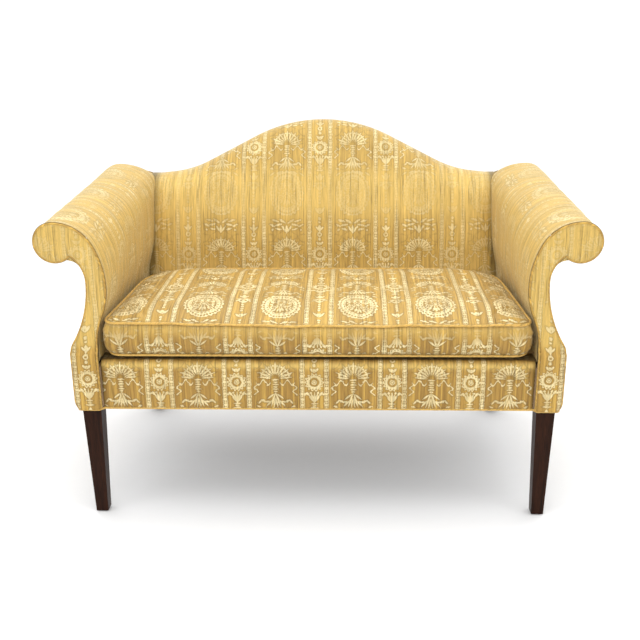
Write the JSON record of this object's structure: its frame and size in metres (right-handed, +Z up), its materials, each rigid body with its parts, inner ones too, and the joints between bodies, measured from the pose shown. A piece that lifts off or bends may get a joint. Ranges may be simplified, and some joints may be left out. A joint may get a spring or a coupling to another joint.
{
  "type": "camelback sofa",
  "caption": "Small camelback sofa with outward scroll arms, square tapered front legs, raked back legs and one loose boxed seat cushion, in gold damask.",
  "frame": {"origin": "on the floor, under the middle of the sofa's bounding box", "axes": "+Z up, +X to the sitter's left, which is the right of the picture, and -Y the way the front faces"},
  "size_m": [1.2954, 0.708, 0.9022],
  "materials": {
    "mahogany": "dark stained mahogany, semi-gloss",
    "beech": "raw beech, planed",
    "screw_steel": "zinc plated",
    "glide_steel": "nickel plated",
    "damask": "gold silk damask with a pale yellow figure and fine lengthwise stripes",
    "welt_cord": "the same silk, cut on the bias over a cord",
    "jute_webbing": "woven jute",
    "burlap": "plain burlap",
    "wadding": "cotton and feather stuffing",
    "deck_cloth": "plain cotton in the colour of the silk",
    "dust_cloth": "black cambric",
    "zip_tape": "woven cotton tape",
    "zip_metal": "brass, dull"
  },
  "bodies": {
    "sofa": {"arm_facing_left": "damask", "arm_facing_right": "damask", "arm_post_left": "beech", "arm_post_right": "beech", "arm_tack_rail_left": "beech", "arm_tack_rail_right": "beech", "arm_top_rail_left": "beech", "arm_top_rail_right": "beech", "back_burlap": "burlap", "back_post_left": "mahogany", "back_post_right": "mahogany", "back_upright_left": "beech", "back_upright_right": "beech", "back_webbing_across": "jute_webbing", "back_webbing_upright": "jute_webbing", "bottom_welt": "welt_cord", "corner_blocks": "beech", "corner_screws": "screw_steel", "crest_rail": "beech", "deck_cover": "deck_cloth", "deck_pad": "wadding", "dust_cover": "dust_cloth", "facing_welt_left": "welt_cord", "facing_welt_right": "welt_cord", "foot_glides": "glide_steel", "front_edge_roll": "wadding", "front_leg_left": "mahogany", "front_leg_right": "mahogany", "front_rail": "beech", "front_rail_cover": "damask", "inside_arm_left": "damask", "inside_arm_right": "damask", "inside_back": "damask", "lower_back_rail": "beech", "outside_arm_left": "damask", "outside_arm_right": "damask", "outside_back": "damask", "rear_rail": "beech", "seat_brace": "beech", "seat_burlap": "burlap", "seat_webbing_cross": "jute_webbing", "seat_webbing_long": "jute_webbing", "side_rail_left": "beech", "side_rail_right": "beech"},
    "cushion": {"cushion_cover": "damask", "cushion_core": "wadding", "cushion_welt_bottom": "welt_cord", "cushion_welt_top": "welt_cord", "zip_tape": "zip_tape", "zip_chain": "zip_metal"},
    "zip_slider": {"zip_slider": "zip_metal"}
  },
  "joints": [
    {"name": "cushion_slide", "type": "slide", "parent": "sofa", "child": "cushion", "axis": [0, -1, 0], "range_m": [0, 0.5]},
    {"name": "zip_slide", "type": "slide", "parent": "cushion", "child": "zip_slider", "axis": [1, 0, 0], "range_m": [0, 0.776]}
  ]
}
